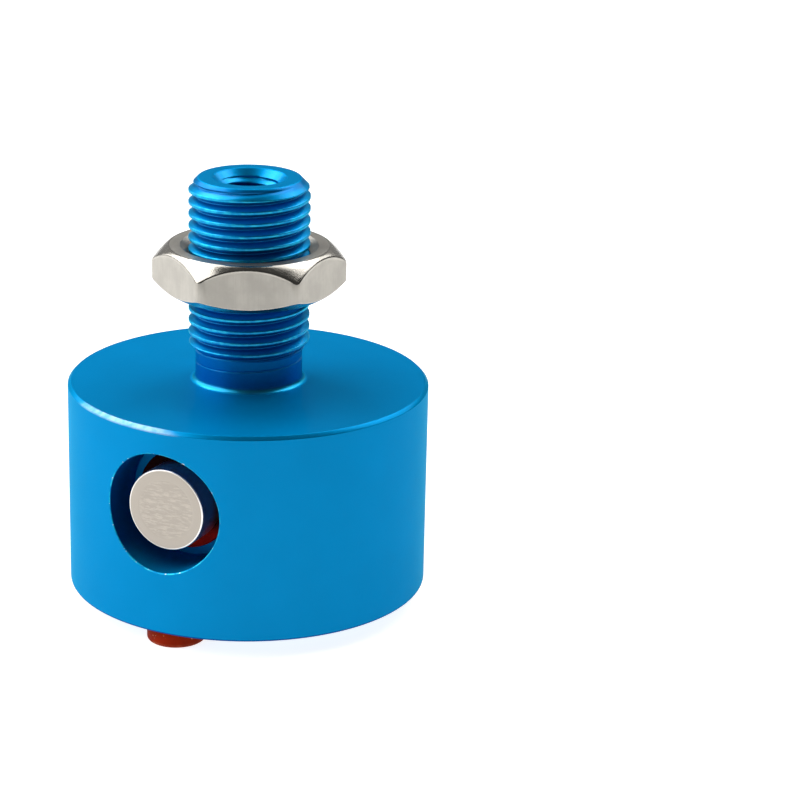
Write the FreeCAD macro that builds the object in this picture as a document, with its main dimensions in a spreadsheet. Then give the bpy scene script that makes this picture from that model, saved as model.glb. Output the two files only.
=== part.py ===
import FreeCAD, Part
import os
import Sketcher

# Bernoulli gripper: a turned body that holds a flat workpiece by a radial air jet.
# Origin on the axis, at the plane that the three pads rest on. +Z runs up the stem.
# The side port points along -Y. All sizes are in millimetres.

SIZES = [
    ("body_radius", 15.0, "outside radius of the body"),
    ("body_rise", 17.4, "working face to shoulder"),
    ("face_chamfer", 0.15, "edge break at the working face"),
    ("shoulder_chamfer", 0.3, "edge break at the shoulder"),
    ("stem_radius", 5.0, "crest radius of the M10 x 1 stem thread"),
    ("stem_rise", 17.2, "shoulder to the end of the stem"),
    ("stem_chamfer", 0.6, "chamfer at the end of the stem"),
    ("neck_radius", 4.43, "plain neck below the thread"),
    ("neck_rise", 2.2, "shoulder to the foot of the thread"),
    ("neck_fillet", 0.5, "fillet between neck and shoulder"),
    ("tapped_radius", 2.1, "core radius of an M5 tapped hole"),
    ("top_port_depth", 9.0, "depth of the tapped port in the stem"),
    ("top_port_mouth", 5.9, "mouth diameter of the port's countersink"),
    ("passage_radius", 1.5, "air passage through stem and body"),
    ("side_port_rise", 10.25, "working face to the axis of the side port"),
    ("side_port_floor", 10.3, "body axis to the floor of the counterbore"),
    ("side_port_recess", 5.0, "radius of the counterbore"),
    ("cavity_radius", 9.5, "rim of the flow cavity in the working face"),
    ("cavity_wall_foot", 8.8, "foot of the cavity's steep wall"),
    ("groove_depth", 4.5, "working face to the floor of the groove"),
    ("groove_start", 7.3, "inner edge of the groove's floor"),
    ("groove_round", 1.3, "rounding between groove floor and wall"),
    ("boss_radius", 6.6, "flat of the boss inside the groove"),
    ("boss_depth", 3.9, "working face to the boss"),
    ("boss_chamfer", 0.3, "edge break of the boss"),
    ("plenum_radius", 3.0, "annular plenum around the nozzle's shank"),
    ("plenum_depth", 1.1, "depth of that plenum in the boss"),
    ("disc_radius", 3.75, "radius of the nozzle's disc"),
    ("disc_depth", 1.5, "working face to the face of the disc"),
    ("disc_chamfer", 0.12, "edge break of the disc"),
    ("slit", 0.25, "height of the slit that the jet leaves by"),
    ("shank_radius", 2.05, "core radius of an M5 shank"),
    ("nozzle_seat", 7.5, "working face to the seat of the shank's end"),
    ("feed_radius", 1.2, "blind air hole in the shank"),
    ("disc_web", 2.3, "brass left between that blind hole and the disc's face"),
    ("jet_radius", 0.45, "cross holes from the blind hole to the plenum"),
    ("seal_radius", 4.15, "outside radius of the sealing washer"),
    ("seal_hole", 2.55, "hole radius of the sealing washer"),
    ("seal_thickness", 0.7, "thickness of the sealing washer"),
    ("plug_head_radius", 3.4, "radius of the plug's round head"),
    ("plug_head_end", 13.85, "body axis to the face of the plug's head"),
    ("plug_head_chamfer", 0.2, "edge break of the plug's head"),
    ("plug_shank", 5.0, "length of the plug's shank below the seal"),
    ("plug_tip_chamfer", 0.4, "lead-in at the end of the plug's shank"),
    ("nut_flats", 14.0, "width across the nut's flats"),
    ("nut_thickness", 4.0, "thickness of the nut"),
    ("nut_bore", 5.05, "bore radius of the nut, clear of the stem"),
    ("nut_bore_mouth", 5.7, "mouth radius of the nut's bore"),
    ("nut_crown", 6.65, "radius where the nut's upper corner chamfer starts"),
    ("nut_crown_angle", 45.0, "slope of the upper corner chamfer, in degrees"),
    ("nut_base", 6.3, "radius where the nut's lower corner chamfer starts"),
    ("nut_base_angle", 30.0, "slope of the lower corner chamfer, in degrees"),
    ("nut_gap", 7.5, "shoulder to the underside of the nut"),
    ("nut_turn", 27.2, "turn of a flat from the side port, in degrees"),
    ("pad_radius", 2.4, "radius of a friction pad"),
    ("pad_rise", 1.4, "how far a pad stands out of the working face"),
    ("pad_chamfer", 0.25, "edge break of a pad's foot"),
    ("pad_circle", 12.2, "radius of the circle that the pads lie on"),
]

# Heights above the resting plane, and depths along the side port, as expressions on the sheet.
FACE = "Sizes.pad_rise"
SHOULDER = f"({FACE} + Sizes.body_rise)"
STEM_END = f"({SHOULDER} + Sizes.stem_rise)"
BOSS = f"({FACE} + Sizes.boss_depth)"
GROOVE = f"({FACE} + Sizes.groove_depth)"
SEAT = f"({FACE} + Sizes.nozzle_seat)"
DISC_FACE = f"({FACE} + Sizes.disc_depth)"
DISC_BACK = f"({BOSS} - Sizes.slit)"
JET = f"({BOSS} + Sizes.plenum_depth / 2)"
PORT_AXIS = f"({FACE} + Sizes.side_port_rise)"
NUT_FOOT = f"({SHOULDER} + Sizes.nut_gap)"
NUT_HEAD = f"({NUT_FOOT} + Sizes.nut_thickness)"
THREAD_FOOT = f"({SHOULDER} + Sizes.neck_rise)"
SEAL_FACE = "(Sizes.side_port_floor + Sizes.seal_thickness)"
PLUG_TIP = "(Sizes.side_port_floor - Sizes.plug_shank)"

PAD_COUNT = 3
NUT_SIDES = 6
CHAMFER_REACH = 0.6
COUNTERSINK_ANGLE = 90.0
ORIGIN_POINT = (-1, 1)
NEAR = 1e-4

doc = FreeCAD.newDocument("bernoulli_gripper")
sheet = doc.addObject("Spreadsheet::Sheet", "Sizes")


def fill_sheet():
    """Writes each driving size with its alias and its meaning."""
    for row, (alias, value, meaning) in enumerate(SIZES, start=1):
        sheet.set(f"A{row}", meaning)
        sheet.set(f"B{row}", str(value))
        sheet.setAlias(f"B{row}", alias)
    doc.recompute()


def size(expression):
    """The present value of an expression on the sheet."""
    return float(sheet.evalExpression(expression))


def new_body(label):
    """An empty body, named as its sub-part is."""
    body = doc.addObject("PartDesign::Body", label)
    body.Label = label
    return body


def new_sketch(body, name, role, lift=None):
    """A sketch on one of the body's own planes, lifted along the plane's normal."""
    sketch = body.newObject("Sketcher::SketchObject", name)
    plane = next(feature for feature in body.Origin.OriginFeatures if feature.Role == role)
    sketch.AttachmentSupport = [(plane, "")]
    sketch.MapMode = "FlatFace"
    if lift:
        sketch.setExpression("AttachmentOffset.Base.z", lift)
    return sketch


def bind(sketch, name, constraint, expression):
    """Adds a named constraint that follows an expression on the sheet."""
    index = sketch.addConstraint(constraint)
    sketch.renameConstraint(index, name)
    sketch.setExpression(f"Constraints.{name}", expression)


def place_point(sketch, name, point, across, up):
    """Holds a point at a place given by two expressions. A plain 0 keeps it on that axis."""
    for letter, axis, kind, expression in (("x", -2, "DistanceX", across), ("y", -1, "DistanceY", up)):
        if expression == "0":
            sketch.addConstraint(Sketcher.Constraint("PointOnObject", *point, axis))
        else:
            constraint = Sketcher.Constraint(kind, *ORIGIN_POINT, *point, size(expression))
            bind(sketch, f"{name}_{letter}", constraint, expression)


def draw_outline(sketch, name, corners):
    """Closes a loop of straight runs through corners that are given as pairs of expressions."""
    points = [FreeCAD.Vector(size(across), size(up), 0) for across, up in corners]
    runs = [
        sketch.addGeometry(Part.LineSegment(start, end))
        for start, end in zip(points, points[1:] + points[:1])
    ]
    for number, (across, up) in enumerate(corners):
        sketch.addConstraint(Sketcher.Constraint("Coincident", runs[number - 1], 2, runs[number], 1))
        place_point(sketch, f"{name}_{number}", (runs[number], 1), across, up)


def draw_circle(sketch, name, across, up, radius):
    """A circle whose centre and radius follow the sheet."""
    centre = FreeCAD.Vector(size(across), size(up), 0)
    circle = sketch.addGeometry(Part.Circle(centre, FreeCAD.Vector(0, 0, 1), size(radius)))
    place_point(sketch, f"{name}_centre", (circle, 3), across, up)
    bind(sketch, f"{name}_radius", Sketcher.Constraint("Radius", circle, size(radius)), radius)


def turn_about(body, kind, name, sketch, axis):
    """A full turn of a sketch about one of its own axes, as a Revolution or a Groove."""
    feature = body.newObject(f"PartDesign::{kind}", name)
    feature.Profile = sketch
    feature.ReferenceAxis = (sketch, [axis])
    feature.Angle = 360.0
    doc.recompute()
    return feature


def cut_hole(body, name, sketch, diameter, depth, reversed_way=False, mouth=None):
    """A drilled hole. The mouth gives a countersink or counterbore as (kind, diameter, depth or angle)."""
    doc.recompute()
    hole = body.newObject("PartDesign::Hole", name)
    hole.Profile = sketch
    hole.Reversed = reversed_way
    hole.DepthType = "Dimension"
    hole.DrillPoint = "Flat"
    hole.setExpression("Diameter", diameter)
    hole.setExpression("Depth", depth)
    if mouth:
        kind, mouth_diameter, extent = mouth
        hole.HoleCutType = kind
        hole.HoleCutCustomValues = True
        hole.setExpression("HoleCutDiameter", mouth_diameter)
        if kind == "Countersink":
            hole.HoleCutCountersinkAngle = extent
        else:
            hole.setExpression("HoleCutDepth", extent)
    doc.recompute()
    return hole


def rim_edges(feature, radius, height, axis):
    """Names of the round edges of a given radius, at a given height along an axis through the origin."""
    names = []
    for number, edge in enumerate(feature.Shape.Edges, start=1):
        curve = edge.Curve
        if not isinstance(curve, Part.Circle) or abs(curve.Radius - size(radius)) > NEAR:
            continue
        if abs(curve.Center.dot(axis) - size(height)) < NEAR:
            names.append(f"Edge{number}")
    return names


def dress_edge(body, kind, name, base, rim, amount):
    """A Fillet or Chamfer on the round edge at rim, given as radius, height and axis."""
    edges = rim_edges(base, *rim)
    if not edges:
        raise RuntimeError(f"{name}: no such edge")
    feature = body.newObject(f"PartDesign::{kind}", name)
    feature.Base = (base, edges)
    feature.setExpression("Radius" if kind == "Fillet" else "Size", amount)
    doc.recompute()
    return feature


UP = FreeCAD.Vector(0, 0, 1)
OUTWARD = FreeCAD.Vector(0, -1, 0)


def make_body():
    """The turned body: working face with flow cavity, shoulder, neck and stem, then its air ways."""
    body = new_body("body")
    section = new_sketch(body, "body_section", "XZ_Plane")
    draw_outline(section, "corner", [
        ("0", BOSS),
        ("Sizes.boss_radius", BOSS),
        ("Sizes.groove_start", GROOVE),
        ("Sizes.cavity_wall_foot", GROOVE),
        ("Sizes.cavity_radius", FACE),
        ("Sizes.body_radius", FACE),
        ("Sizes.body_radius", SHOULDER),
        ("Sizes.neck_radius", SHOULDER),
        ("Sizes.neck_radius", f"{THREAD_FOOT} - (Sizes.stem_radius - Sizes.neck_radius)"),
        ("Sizes.stem_radius", THREAD_FOOT),
        ("Sizes.stem_radius", STEM_END),
        ("0", STEM_END),
    ])
    solid = turn_about(body, "Revolution", "turned_form", section, "V_Axis")

    roundings = [
        ("Chamfer", "boss_edge", "Sizes.boss_radius", BOSS, "Sizes.boss_chamfer"),
        ("Fillet", "groove_root", "Sizes.cavity_wall_foot", GROOVE, "Sizes.groove_round"),
        ("Chamfer", "face_rim", "Sizes.body_radius", FACE, "Sizes.face_chamfer"),
        ("Chamfer", "shoulder_rim", "Sizes.body_radius", SHOULDER, "Sizes.shoulder_chamfer"),
        ("Fillet", "neck_root", "Sizes.neck_radius", SHOULDER, "Sizes.neck_fillet"),
        ("Chamfer", "stem_tip", "Sizes.stem_radius", STEM_END, "Sizes.stem_chamfer"),
    ]
    for kind, name, radius, height, amount in roundings:
        solid = dress_edge(body, kind, name, solid, (radius, height, UP), amount)

    tapped = "2 * Sizes.tapped_radius"
    top_mouth = new_sketch(body, "top_port_place", "XY_Plane", STEM_END)
    draw_circle(top_mouth, "port", "0", "0", "Sizes.tapped_radius")
    cut_hole(body, "top_port", top_mouth, tapped, "Sizes.top_port_depth",
             mouth=("Countersink", "Sizes.top_port_mouth", COUNTERSINK_ANGLE))

    side_mouth = new_sketch(body, "side_port_place", "XZ_Plane", "Sizes.body_radius")
    draw_circle(side_mouth, "port", "0", PORT_AXIS, "Sizes.tapped_radius")
    cut_hole(body, "side_port", side_mouth, tapped, "Sizes.body_radius",
             mouth=("Counterbore", "2 * Sizes.side_port_recess", "Sizes.body_radius - Sizes.side_port_floor"))

    boss_centre = new_sketch(body, "nozzle_place", "XY_Plane", BOSS)
    draw_circle(boss_centre, "nozzle", "0", "0", "Sizes.tapped_radius")
    cut_hole(body, "nozzle_hole", boss_centre, tapped, f"{SEAT} - {BOSS}", reversed_way=True,
             mouth=("Counterbore", "2 * Sizes.plenum_radius", "Sizes.plenum_depth"))

    seat_centre = new_sketch(body, "passage_place", "XY_Plane", SEAT)
    draw_circle(seat_centre, "passage", "0", "0", "Sizes.passage_radius")
    cut_hole(body, "air_passage", seat_centre, "2 * Sizes.passage_radius",
             f"{STEM_END} - Sizes.top_port_depth - {SEAT}", reversed_way=True)
    return body


def make_lock_nut():
    """A hexagon of the stated width across flats, turned down at its corners and bored."""
    body = new_body("lock_nut")
    plan = new_sketch(body, "nut_plan", "XY_Plane", NUT_FOOT)
    step = 360.0 / NUT_SIDES
    corner = f"Sizes.nut_flats / 2 / cos({step / 2}deg)"
    first = f"Sizes.nut_turn + {step / 2 - 90.0}"
    turns = [f"({first} + {step * number}) * 1deg" for number in range(NUT_SIDES)]
    draw_outline(plan, "corner", [(f"{corner} * cos({turn})", f"{corner} * sin({turn})") for turn in turns])
    blank = body.newObject("PartDesign::Pad", "hexagon")
    blank.Profile = plan
    blank.setExpression("Length", "Sizes.nut_thickness")
    doc.recompute()

    # The corner chamfers are cut by a triangle at each end, which reaches just past the corners.
    reach = f"Sizes.nut_flats * {CHAMFER_REACH}"
    crown_fall = f"({reach} - Sizes.nut_crown) * tan(Sizes.nut_crown_angle * 1deg)"
    base_fall = f"({reach} - Sizes.nut_base) * tan(Sizes.nut_base_angle * 1deg)"
    mouth = "(Sizes.nut_bore_mouth - Sizes.nut_bore)"
    turning = new_sketch(body, "nut_turning", "XZ_Plane")
    draw_outline(turning, "lower", [
        ("Sizes.nut_base", NUT_FOOT),
        (reach, NUT_FOOT),
        (reach, f"{NUT_FOOT} + {base_fall}"),
    ])
    draw_outline(turning, "upper", [
        ("Sizes.nut_crown", NUT_HEAD),
        (reach, NUT_HEAD),
        (reach, f"{NUT_HEAD} - {crown_fall}"),
    ])
    draw_outline(turning, "bore", [
        ("0", NUT_FOOT),
        ("Sizes.nut_bore_mouth", NUT_FOOT),
        ("Sizes.nut_bore", f"{NUT_FOOT} + {mouth}"),
        ("Sizes.nut_bore", f"{NUT_HEAD} - {mouth}"),
        ("Sizes.nut_bore_mouth", NUT_HEAD),
        ("0", NUT_HEAD),
    ])
    turn_about(body, "Groove", "crown_and_bore", turning, "V_Axis")
    return body


def make_nozzle():
    """The brass disc and its hollow shank, with two crossed holes that feed the slit."""
    body = new_body("nozzle")
    section = new_sketch(body, "nozzle_section", "XZ_Plane")
    draw_outline(section, "corner", [
        ("0", DISC_FACE),
        ("Sizes.disc_radius", DISC_FACE),
        ("Sizes.disc_radius", DISC_BACK),
        ("Sizes.shank_radius", DISC_BACK),
        ("Sizes.shank_radius", SEAT),
        ("Sizes.feed_radius", SEAT),
        ("Sizes.feed_radius", f"{DISC_FACE} + Sizes.disc_web"),
        ("0", f"{DISC_FACE} + Sizes.disc_web"),
    ])
    solid = turn_about(body, "Revolution", "disc_and_shank", section, "V_Axis")
    rim = ("Sizes.disc_radius", DISC_FACE, UP)
    dress_edge(body, "Chamfer", "disc_rim", solid, rim, "Sizes.disc_chamfer")
    for role in ("XZ_Plane", "YZ_Plane"):
        place = new_sketch(body, f"jet_{role[:2].lower()}", role)
        draw_circle(place, "jet", "0", JET, "Sizes.jet_radius")
        jet = body.newObject("PartDesign::Pocket", f"cross_hole_{role[:2].lower()}")
        jet.Profile = place
        jet.SideType = "Symmetric"
        jet.setExpression("Length", "4 * Sizes.shank_radius")
        doc.recompute()
    return body


def make_port_plug():
    """The plug of the side port: a round head over a short threaded shank, turned about the port's axis."""
    body = new_body("port_plug")
    section = new_sketch(body, "plug_section", "YZ_Plane")
    draw_outline(section, "corner", [
        (f"-{PLUG_TIP}", PORT_AXIS),
        (f"-{PLUG_TIP}", f"{PORT_AXIS} + Sizes.shank_radius"),
        (f"-{SEAL_FACE}", f"{PORT_AXIS} + Sizes.shank_radius"),
        (f"-{SEAL_FACE}", f"{PORT_AXIS} + Sizes.plug_head_radius"),
        ("-Sizes.plug_head_end", f"{PORT_AXIS} + Sizes.plug_head_radius"),
        ("-Sizes.plug_head_end", PORT_AXIS),
    ])
    solid = turn_about(body, "Revolution", "head_and_shank", section, "Edge6")
    head = ("Sizes.plug_head_radius", "Sizes.plug_head_end", OUTWARD)
    solid = dress_edge(body, "Chamfer", "head_rim", solid, head, "Sizes.plug_head_chamfer")
    tip = ("Sizes.shank_radius", PLUG_TIP, OUTWARD)
    dress_edge(body, "Chamfer", "shank_tip", solid, tip, "Sizes.plug_tip_chamfer")
    return body


def make_plug_seal():
    """The flat sealing washer between the plug's head and the floor of the counterbore."""
    body = new_body("plug_seal")
    ring = new_sketch(body, "seal_ring", "XZ_Plane", "Sizes.side_port_floor")
    draw_circle(ring, "rim", "0", PORT_AXIS, "Sizes.seal_radius")
    draw_circle(ring, "hole", "0", PORT_AXIS, "Sizes.seal_hole")
    washer = body.newObject("PartDesign::Pad", "washer")
    washer.Profile = ring
    washer.setExpression("Length", "Sizes.seal_thickness")
    doc.recompute()
    return body


def make_pad(number):
    """One friction pad, the first of them below the side port."""
    body = new_body(f"pad_{number}")
    angle = f"({number - 1} * {360 // PAD_COUNT} - 90) * 1deg"
    across = f"Sizes.pad_circle * cos({angle})"
    along = f"Sizes.pad_circle * sin({angle})"
    disc = new_sketch(body, f"pad_disc_{number}", "XY_Plane")
    draw_circle(disc, "rim", across, along, "Sizes.pad_radius")
    pad = body.newObject("PartDesign::Pad", f"pad_form_{number}")
    pad.Profile = disc
    pad.setExpression("Length", "Sizes.pad_rise")
    doc.recompute()
    foot = ("Sizes.pad_radius", "0 * Sizes.pad_rise", UP)
    dress_edge(body, "Chamfer", f"pad_foot_{number}", pad, foot, "Sizes.pad_chamfer")
    return body


def check(bodies):
    """Stops if any object failed, or if a sub-part isn't one sound solid."""
    for entry in doc.Objects:
        if "Invalid" in entry.State or "Error" in entry.State:
            raise RuntimeError(f"{entry.Label} failed: {entry.State}")
    for body in bodies:
        shape = body.Shape
        if shape.isNull() or not shape.isValid() or len(shape.Solids) != 1:
            raise RuntimeError(f"{body.Label} is not one sound solid")


def main():
    fill_sheet()
    bodies = [make_body(), make_lock_nut(), make_nozzle(), make_port_plug(), make_plug_seal()]
    bodies += [make_pad(number) for number in range(1, PAD_COUNT + 1)]
    doc.recompute()
    check(bodies)
    os.makedirs("parts", exist_ok=True)
    for body in bodies:
        body.Shape.exportStep(f"parts/{body.Label}.step")
        print(body.Label, "volume", round(body.Shape.Volume, 2), "mm3")


main()
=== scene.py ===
"""Bernoulli gripper: finished pieces, finishes and a small studio around the packed frame."""

import math
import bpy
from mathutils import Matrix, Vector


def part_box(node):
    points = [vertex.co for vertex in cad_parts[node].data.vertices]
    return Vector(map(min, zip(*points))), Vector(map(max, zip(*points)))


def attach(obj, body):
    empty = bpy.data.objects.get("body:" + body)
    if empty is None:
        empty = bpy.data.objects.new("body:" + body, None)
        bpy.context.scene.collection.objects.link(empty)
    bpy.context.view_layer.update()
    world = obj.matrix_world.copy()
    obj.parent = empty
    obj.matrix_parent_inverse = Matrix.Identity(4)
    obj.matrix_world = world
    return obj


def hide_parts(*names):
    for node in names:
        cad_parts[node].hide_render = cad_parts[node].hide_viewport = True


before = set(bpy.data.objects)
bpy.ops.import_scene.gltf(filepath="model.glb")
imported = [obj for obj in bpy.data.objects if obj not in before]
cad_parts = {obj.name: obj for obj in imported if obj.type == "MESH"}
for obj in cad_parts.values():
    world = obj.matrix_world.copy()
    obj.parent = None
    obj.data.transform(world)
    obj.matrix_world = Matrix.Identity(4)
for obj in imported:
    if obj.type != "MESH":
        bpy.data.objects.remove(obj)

from types import SimpleNamespace

import bmesh
import bpy
from bpy.props import FloatProperty, FloatVectorProperty, PointerProperty
from bpy.types import Operator, Panel, PropertyGroup
from mathutils import Matrix, Vector

bl_info = {
    "name": "Bernoulli gripper",
    "version": (1, 0, 0),
    "blender": (4, 5, 0),
    "location": "View3D > Sidebar > Gripper",
    "description": "Builds a contactless air gripper with its lock nut, port plug, nozzle and pads",
    "category": "Add Mesh",
}

# Meshes are worked out in millimetres and scaled to metres when a piece is finished.
MM = 0.001
FULL_TURN = 2 * math.pi
PHOTO_SIDE = 800
SENSOR = 36.0

COLUMNS = 144
PORT_COLUMNS = 96
JET_COLUMNS = 32
ROWS_PER_PITCH = 24
PORT_ROWS = 12
ROUND_STEPS = 4
EDGE_STEPS = 2
SHARP_ANGLE = math.radians(24.0)
NUT_SIDES = 6
CROWN_ROWS = 5
# The crown of the nut is a little domed: its fall grows with this power of the reach.
CROWN_POWER = 1.3

# A 60 degree thread: half a crest and the run of one flank, in pitches.
HALF_CREST = 0.1
FLANK = 0.36

# In millimetres: how close points are welded, and how much a test of a point's place allows.
WELD = 1e-5
NEAR = 0.01
CLEAR = 0.05

# Edge breaks that are the turner's choice, in millimetres.
CHAMFER_EDGE = 0.04
FINE_EDGE = 0.05
SOFT_EDGE = 0.06
RIM_EDGE = 0.08
SHANK_EDGE = 0.1
GROOVE_EDGE = 0.25

# Half the width of the floor, in metres.
FLOOR_REACH = 2.0
# Softboxes: swing from the camera and rise in degrees, then distance and spread in metres.
SOFTBOXES = {
    "left": (-99, 38, 0.28, (0.46, 0.28)),
    "right": (122, 42, 0.36, (0.3, 0.26)),
    "back": (180, 18, 0.9, (1.6, 0.5)),
    "upper_left": (-138, 56, 0.6, (0.42, 0.34)),
    "upper_right": (138, 56, 0.6, (0.42, 0.34)),
}

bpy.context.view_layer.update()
BODY_LOW, BODY_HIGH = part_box("body")
NUT_LOW, NUT_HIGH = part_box("lock_nut")
NOZZLE_LOW, NOZZLE_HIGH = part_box("nozzle")
PLUG_LOW, PLUG_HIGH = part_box("port_plug")
SEAL_LOW, SEAL_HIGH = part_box("plug_seal")
PAD_NODES = sorted(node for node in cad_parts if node.startswith("pad_"))
PAD_LOW, PAD_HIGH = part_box(PAD_NODES[0])


def length(label, metres, meaning):
    """A size in metres."""
    return FloatProperty(name=label, description=meaning, default=metres, min=0.0,
                         precision=5, subtype="DISTANCE", unit="LENGTH")


def colour(label, rgb, meaning):
    """A linear colour."""
    return FloatVectorProperty(name=label, description=meaning, default=rgb, size=3,
                               min=0.0, max=1.0, subtype="COLOR")


def angle(label, degrees, meaning):
    """An angle that is typed in degrees."""
    return FloatProperty(name=label, description=meaning, default=math.radians(degrees),
                         subtype="ANGLE", unit="ROTATION")


def strength(label, amount, meaning):
    """A light's brightness as a surface sees it, where 1 is paper white."""
    return FloatProperty(name=label, description=meaning, default=amount, min=0.0)


class BodySizes(PropertyGroup):
    """Turned body, stem and air ways."""
    radius: length("Radius", BODY_HIGH.x, "Outside of the body")
    face: length("Working face", BODY_LOW.z, "Height of the working face over the floor")
    shoulder: length("Shoulder", 0.0188, "Height of the shoulder over the floor")
    face_break: length("Face edge", 0.00015, "Edge break at the working face")
    shoulder_break: length("Shoulder chamfer", 0.00028, "Flat chamfer at the shoulder")
    stem_radius: length("Stem radius", 0.005, "Crest of the stem's thread")
    stem_end: length("Stem end", BODY_HIGH.z, "Height of the end of the stem")
    stem_chamfer: length("Stem chamfer", 0.0008, "Chamfer at the end of the stem")
    neck_radius: length("Neck radius", 0.00443, "Plain neck below the thread")
    thread_foot: length("Thread foot", 0.0221, "Height where the full thread starts")
    run_out: length("Run-out", 0.0201, "Height where the thread's groove ends on the neck")
    neck_round: length("Neck fillet", 0.0005, "Fillet between neck and shoulder")
    pitch: length("Stem pitch", 0.001, "Pitch of the stem's thread")
    thread_depth: length("Stem thread depth", 0.0006, "Crest to root of the stem's thread")
    thread_start: length("Thread start", 0.03535, "Height of a crest on the +X side")
    tapped_radius: length("Tapped hole", 0.0021, "Crest of a port's inner thread")
    tapped_pitch: length("Port pitch", 0.0008, "Pitch of a port's inner thread")
    tapped_depth: length("Port thread depth", 0.0004, "Crest to root of a port's inner thread")
    port_mouth: length("Port mouth", 0.00305, "Radius of the top port's countersink")
    port_start: length("Port thread start", 0.03509, "Height of the inner thread's root on the +X side")
    port_floor: length("Port floor", 0.027, "Height of the top port's floor")
    passage_radius: length("Passage", 0.0015, "Air passage through stem and body")
    side_axis: length("Side port height", 0.01165, "Height of the side port's axis")
    recess_radius: length("Counterbore", 0.005, "Radius of the side port's counterbore")
    recess_floor: length("Counterbore floor", -SEAL_HIGH.y, "Body axis to the counterbore's floor")
    recess_break: length("Counterbore edge", 0.00008, "Edge break of the counterbore")
    cavity_radius: length("Cavity rim", 0.0095, "Rim of the flow cavity")
    wall_foot: length("Cavity wall foot", 0.0088, "Foot of the cavity's steep wall")
    groove_floor: length("Groove floor", 0.0059, "Height of the groove's floor")
    groove_start: length("Groove start", 0.0073, "Inner edge of the groove's floor")
    groove_round: length("Groove rounding", 0.0013, "Rounding between groove floor and wall")
    boss_radius: length("Boss radius", 0.0066, "Flat of the boss inside the groove")
    boss: length("Boss", 0.0053, "Height of the boss over the floor")
    boss_break: length("Boss edge", 0.0003, "Edge break of the boss")
    plenum_radius: length("Plenum radius", 0.003, "Plenum around the nozzle's shank")
    plenum_floor: length("Plenum floor", 0.0064, "Height of the plenum's floor")
    seat: length("Nozzle seat", NOZZLE_HIGH.z, "Height of the seat of the nozzle's shank")
    # Painted highlight: the shoulder's rubbed stretch is bare metal laid on the chamfer where the left
    # softbox's highlight falls.
    highlight_turn: angle("Rubbed rim", -16.0, "Middle of the shoulder's rubbed stretch, from the side port")
    highlight_reach: angle("Rubbed reach", 21.0, "Half of the shoulder's rubbed stretch")
    blue: colour("Blue", (0.0, 0.235, 0.53), "Dyed oxide of the body")
    # Painted shade: this blue darkens the face's outer edge, the counterbore's wall and the thread's roots
    # and neck.
    shade_blue: colour("Dark blue", (0.0, 0.008, 0.2), "Dye that gathered in grooves and corners")
    worn_blue: colour("Worn blue", (0.02, 0.46, 0.62), "Thin oxide along edges and crests")
    # Real nicks of the counterbore's rim, and also the painted highlight on a stretch of the shoulder's
    # chamfer.
    nick_and_highlight_metal: colour("Bare metal", (0.78, 0.8, 0.82), "Aluminium in the nicks of an edge")


class NutSizes(PropertyGroup):
    """Lock nut on the stem."""
    foot: length("Foot", NUT_LOW.z, "Height of the nut's underside")
    head: length("Head", NUT_HIGH.z, "Height of the nut's upper face")
    flats: length("Across flats", 0.014, "Width across the flats")
    turn: angle("Turn", 27.2, "Turn of a flat from the side port")
    crown: length("Crown", 0.00665, "Radius where the upper corner chamfer starts")
    crown_slope: angle("Crown slope", 45.0, "Slope of the upper corner chamfer")
    base: length("Base", 0.0063, "Radius where the lower corner chamfer starts")
    base_slope: angle("Base slope", 30.0, "Slope of the lower corner chamfer")
    edge: length("Edge", 0.0001, "Edge break along the arcs of the flats")
    corner_round: length("Corner", 0.0003, "Rounding of the six corners")
    mouth: length("Mouth", 0.0057, "Radius of the bore's mouth")
    core: length("Core", 0.00446, "Inner crest of the nut's thread")
    clearance: length("Clearance", 0.00006, "Room between the two threads")
    nickel: colour("Nickel", (0.43, 0.408, 0.366), "Plating of the nut")


class NozzleSizes(PropertyGroup):
    """Brass nozzle in the boss."""
    face: length("Disc face", NOZZLE_LOW.z, "Height of the disc's face")
    disc_radius: length("Disc radius", NOZZLE_HIGH.x, "Radius of the disc")
    disc_back: length("Disc back", 0.00505, "Height of the disc's back, over the slit")
    disc_break: length("Disc edge", 0.00012, "Edge break of the disc")
    shank_radius: length("Shank radius", 0.00205, "Core of the shank")
    seat: length("Seat", NOZZLE_HIGH.z, "Height of the shank's end")
    feed_radius: length("Feed hole", 0.0012, "Blind air hole in the shank")
    feed_floor: length("Feed floor", 0.0052, "Height of the blind hole's floor")
    jet_axis: length("Jet height", 0.00585, "Height of the cross holes")
    jet_radius: length("Jet radius", 0.00045, "Cross holes into the plenum")
    brass: colour("Brass", (0.72, 0.5, 0.2), "Turned brass")


class PlugSizes(PropertyGroup):
    """Plug of the side port and the washer under its head."""
    tip: length("Tip", -PLUG_HIGH.y, "Body axis to the end of the shank")
    tip_break: length("Tip edge", 0.0004, "Lead-in of the shank")
    shank_radius: length("Shank radius", 0.00205, "Core of the shank")
    seat: length("Seat", -SEAL_LOW.y, "Body axis to the underside of the head")
    head_end: length("Head end", -PLUG_LOW.y, "Body axis to the face of the head")
    head_radius: length("Head radius", PLUG_HIGH.x, "Radius of the round head")
    head_break: length("Head edge", 0.00012, "Edge break of the head")
    field_radius: length("Rough field", 0.00245, "Radius of the head's rough middle")
    field_sink: length("Field depth", 0.00002, "Depth of the rough middle")
    nickel: colour("Nickel", (0.385, 0.348, 0.304), "Plating of the plug")
    edge_nickel: colour("Edge nickel", (0.92, 0.9, 0.86), "Plating that is burnished along the head's edge")
    seal_radius: length("Washer radius", SEAL_HIGH.x, "Outside of the washer")
    seal_hole: length("Washer hole", 0.00255, "Hole of the washer")
    seal_break: length("Washer edge", 0.00012, "Rounding of the washer's edges")
    seal_red: colour("Washer red", (0.4, 0.008, 0.003), "Silicone of the washer")
    # Painted shade: the washer is darkened above this line, where shade falls in the counterbore.
    shade_drop: length("Oil line", 0.0021, "Port's axis down to the line where the washer's oil ends")


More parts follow.
